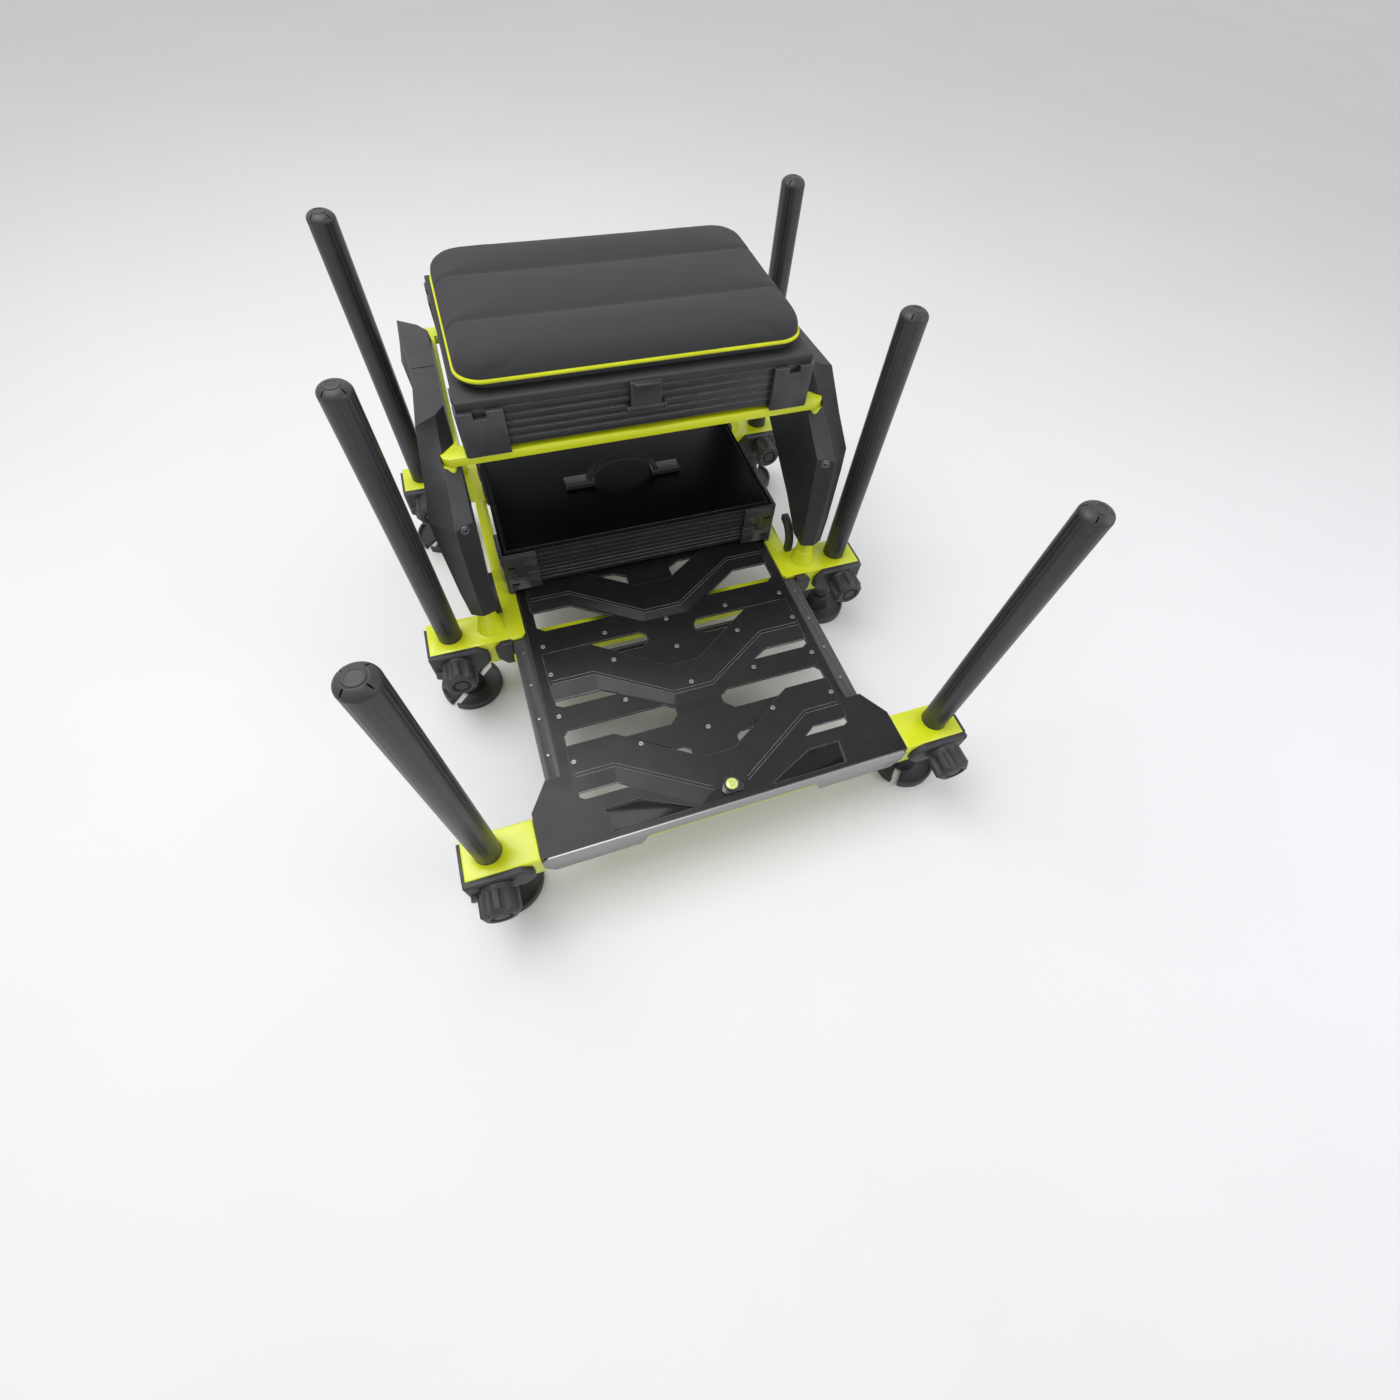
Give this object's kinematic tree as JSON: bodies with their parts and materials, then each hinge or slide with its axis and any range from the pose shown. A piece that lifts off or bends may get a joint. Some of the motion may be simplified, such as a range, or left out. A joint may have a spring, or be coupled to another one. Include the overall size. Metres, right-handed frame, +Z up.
{
  "type": "fishing seat box",
  "caption": "Fishing seat with a padded hinged top on a four-post frame, a shallow case stowed below, a sliding slotted footplate and telescopic clamped legs with swivel feet.",
  "frame": {"origin": "on the floor, under the middle of the whole box from the front knobs to the rear feet, as pictured", "axes": "+X to the right seen from the footplate, +Y from the footplate to the back, +Z up"},
  "size_m": [0.764, 0.8672, 0.555],
  "materials": {
    "leg_coating": "satin black anodised tube with long flutes",
    "moulded_plastic": "moulded black plastic, fine texture",
    "lime_paint": "yellow-green powder coat on aluminium, semi-gloss",
    "deck_coating": "black powder coat on aluminium sheet, satin",
    "rail_coating": "dark grey powder coat on extruded aluminium rails",
    "fascia_paint": "grey paint on aluminium, satin",
    "level_vial": "clear pale green vial in a black cup",
    "screw_steel": "blackened steel",
    "case_aluminium": "dark grooved extrusion",
    "case_gloss": "gloss black aluminium lid with grooved edges",
    "strap_rubber": "ribbed black strap",
    "pin_steel": "plain steel",
    "seat_board": "black board, satin",
    "seat_fabric": "black woven fabric, sewn edge"
  },
  "bodies": {
    "frame": {"front_left_corner": "lime_paint", "front_right_corner": "lime_paint", "rear_left_corner": "lime_paint", "rear_right_corner": "lime_paint", "cross_tubes": "lime_paint", "side_rails": "lime_paint", "rail_guides": "moulded_plastic", "case_clips": "moulded_plastic", "clamp_covers": "moulded_plastic", "front_right_cover": "moulded_plastic", "front_left_cover": "moulded_plastic", "rear_right_cover": "moulded_plastic", "rear_left_cover": "moulded_plastic", "upper_frame": "lime_paint", "seat_tray": "case_aluminium", "seat_tray_corners": "moulded_plastic", "seat_hinge_pins": "pin_steel"},
    "footplate": {"deck_panel": "deck_coating", "deck_rails": "rail_coating", "front_beam": "lime_paint", "right_front_block": "lime_paint", "left_front_block": "lime_paint", "fascia": "fascia_paint", "spirit_level": "level_vial", "deck_screws": "screw_steel", "front_clamp_covers": "moulded_plastic"},
    "seat": {"seat_board": "seat_board", "seat_cushion": "seat_fabric"},
    "seat_latch": {"seat_catch": "moulded_plastic"},
    "case": {"case_tray": "case_aluminium", "case_tray_corners": "moulded_plastic", "case_hinge_pins": "pin_steel"},
    "case_top": {"case_lid": "case_gloss", "case_lid_corners": "moulded_plastic", "handle_mounts": "moulded_plastic", "case_handle": "strap_rubber"},
    "front_left_leg_set": {"front_left_leg": "leg_coating", "front_left_leg_ends": "moulded_plastic"},
    "front_left_foot_set": {"front_left_foot": "moulded_plastic"},
    "front_left_knob_set": {"front_left_knob": "moulded_plastic"},
    "front_right_leg_set": {"front_right_leg": "leg_coating", "front_right_leg_ends": "moulded_plastic"},
    "front_right_foot_set": {"front_right_foot": "moulded_plastic"},
    "front_right_knob_set": {"front_right_knob": "moulded_plastic"},
    "box_left_leg_set": {"box_left_leg": "leg_coating", "box_left_leg_ends": "moulded_plastic"},
    "box_left_foot_set": {"box_left_foot": "moulded_plastic"},
    "box_left_knob_set": {"box_left_knob": "moulded_plastic"},
    "box_right_leg_set": {"box_right_leg": "leg_coating", "box_right_leg_ends": "moulded_plastic"},
    "box_right_foot_set": {"box_right_foot": "moulded_plastic"},
    "box_right_knob_set": {"box_right_knob": "moulded_plastic"},
    "rear_left_leg_set": {"rear_left_leg": "leg_coating", "rear_left_leg_ends": "moulded_plastic"},
    "rear_left_foot_set": {"rear_left_foot": "moulded_plastic"},
    "rear_left_knob_set": {"rear_left_knob": "moulded_plastic"},
    "rear_right_leg_set": {"rear_right_leg": "leg_coating", "rear_right_leg_ends": "moulded_plastic"},
    "rear_right_foot_set": {"rear_right_foot": "moulded_plastic"},
    "rear_right_knob_set": {"rear_right_knob": "moulded_plastic"}
  },
  "joints": [
    {"name": "footplate_slide", "type": "slide", "parent": "frame", "child": "footplate", "axis": [0, 1, 0], "range_m": [0, 0.235]},
    {"name": "case_slide", "type": "slide", "parent": "frame", "child": "case", "axis": [0, -1, 0], "range_m": [0, 0.25]},
    {"name": "case_lid_hinge", "type": "hinge", "parent": "case", "child": "case_top", "pos_m": [0, 0.33465, 0.187], "axis": [-1, 0, 0], "range_deg": [0, 45]},
    {"name": "seat_hinge", "type": "hinge", "parent": "frame", "child": "seat", "pos_m": [0, 0.35065, 0.48], "axis": [-1, 0, 0], "range_deg": [0, 95]},
    {"name": "seat_catch_pivot", "type": "hinge", "parent": "frame", "child": "seat_latch", "pos_m": [0, 0.04265, 0.456], "axis": [1, 0, 0], "range_deg": [0, 70]},
    {"name": "front_left_leg_slide", "type": "slide", "parent": "footplate", "child": "front_left_leg_set", "axis": [0, 0, 1], "range_m": [-0.35, 0.045]},
    {"name": "front_left_foot_tilt", "type": "hinge", "parent": "front_left_leg_set", "child": "front_left_foot_set", "pos_m": [-0.332, -0.35235, 0.027], "axis": [1, 0, 0], "range_deg": [-20, 20]},
    {"name": "front_left_knob_turn", "type": "hinge", "parent": "footplate", "child": "front_left_knob_set", "pos_m": [-0.332, -0.38435, 0.12], "axis": [0, 1, 0], "range_deg": [0, 360]},
    {"name": "front_right_leg_slide", "type": "slide", "parent": "footplate", "child": "front_right_leg_set", "axis": [0, 0, 1], "range_m": [-0.35, 0.045]},
    {"name": "front_right_foot_tilt", "type": "hinge", "parent": "front_right_leg_set", "child": "front_right_foot_set", "pos_m": [0.332, -0.35235, 0.027], "axis": [1, 0, 0], "range_deg": [-20, 20]},
    {"name": "front_right_knob_turn", "type": "hinge", "parent": "footplate", "child": "front_right_knob_set", "pos_m": [0.332, -0.38435, 0.12], "axis": [0, 1, 0], "range_deg": [0, 360]},
    {"name": "box_left_leg_slide", "type": "slide", "parent": "frame", "child": "box_left_leg_set", "axis": [0, 0, 1], "range_m": [-0.35, 0.045]},
    {"name": "box_left_foot_tilt", "type": "hinge", "parent": "box_left_leg_set", "child": "box_left_foot_set", "pos_m": [-0.332, 0.00565, 0.027], "axis": [1, 0, 0], "range_deg": [-20, 20]},
    {"name": "box_left_knob_turn", "type": "hinge", "parent": "frame", "child": "box_left_knob_set", "pos_m": [-0.332, -0.02635, 0.12], "axis": [0, 1, 0], "range_deg": [0, 360]},
    {"name": "box_right_leg_slide", "type": "slide", "parent": "frame", "child": "box_right_leg_set", "axis": [0, 0, 1], "range_m": [-0.35, 0.045]},
    {"name": "box_right_foot_tilt", "type": "hinge", "parent": "box_right_leg_set", "child": "box_right_foot_set", "pos_m": [0.332, 0.00565, 0.027], "axis": [1, 0, 0], "range_deg": [-20, 20]},
    {"name": "box_right_knob_turn", "type": "hinge", "parent": "frame", "child": "box_right_knob_set", "pos_m": [0.332, -0.02635, 0.12], "axis": [0, 1, 0], "range_deg": [0, 360]},
    {"name": "rear_left_leg_slide", "type": "slide", "parent": "frame", "child": "rear_left_leg_set", "axis": [0, 0, 1], "range_m": [-0.35, 0.045]},
    {"name": "rear_left_foot_tilt", "type": "hinge", "parent": "rear_left_leg_set", "child": "rear_left_foot_set", "pos_m": [-0.332, 0.38365, 0.027], "axis": [1, 0, 0], "range_deg": [-20, 20]},
    {"name": "rear_left_knob_turn", "type": "hinge", "parent": "frame", "child": "rear_left_knob_set", "pos_m": [-0.332, 0.35165, 0.12], "axis": [0, 1, 0], "range_deg": [0, 360]},
    {"name": "rear_right_leg_slide", "type": "slide", "parent": "frame", "child": "rear_right_leg_set", "axis": [0, 0, 1], "range_m": [-0.35, 0.045]},
    {"name": "rear_right_foot_tilt", "type": "hinge", "parent": "rear_right_leg_set", "child": "rear_right_foot_set", "pos_m": [0.332, 0.38365, 0.027], "axis": [1, 0, 0], "range_deg": [-20, 20]},
    {"name": "rear_right_knob_turn", "type": "hinge", "parent": "frame", "child": "rear_right_knob_set", "pos_m": [0.332, 0.35165, 0.12], "axis": [0, 1, 0], "range_deg": [0, 360]}
  ]
}
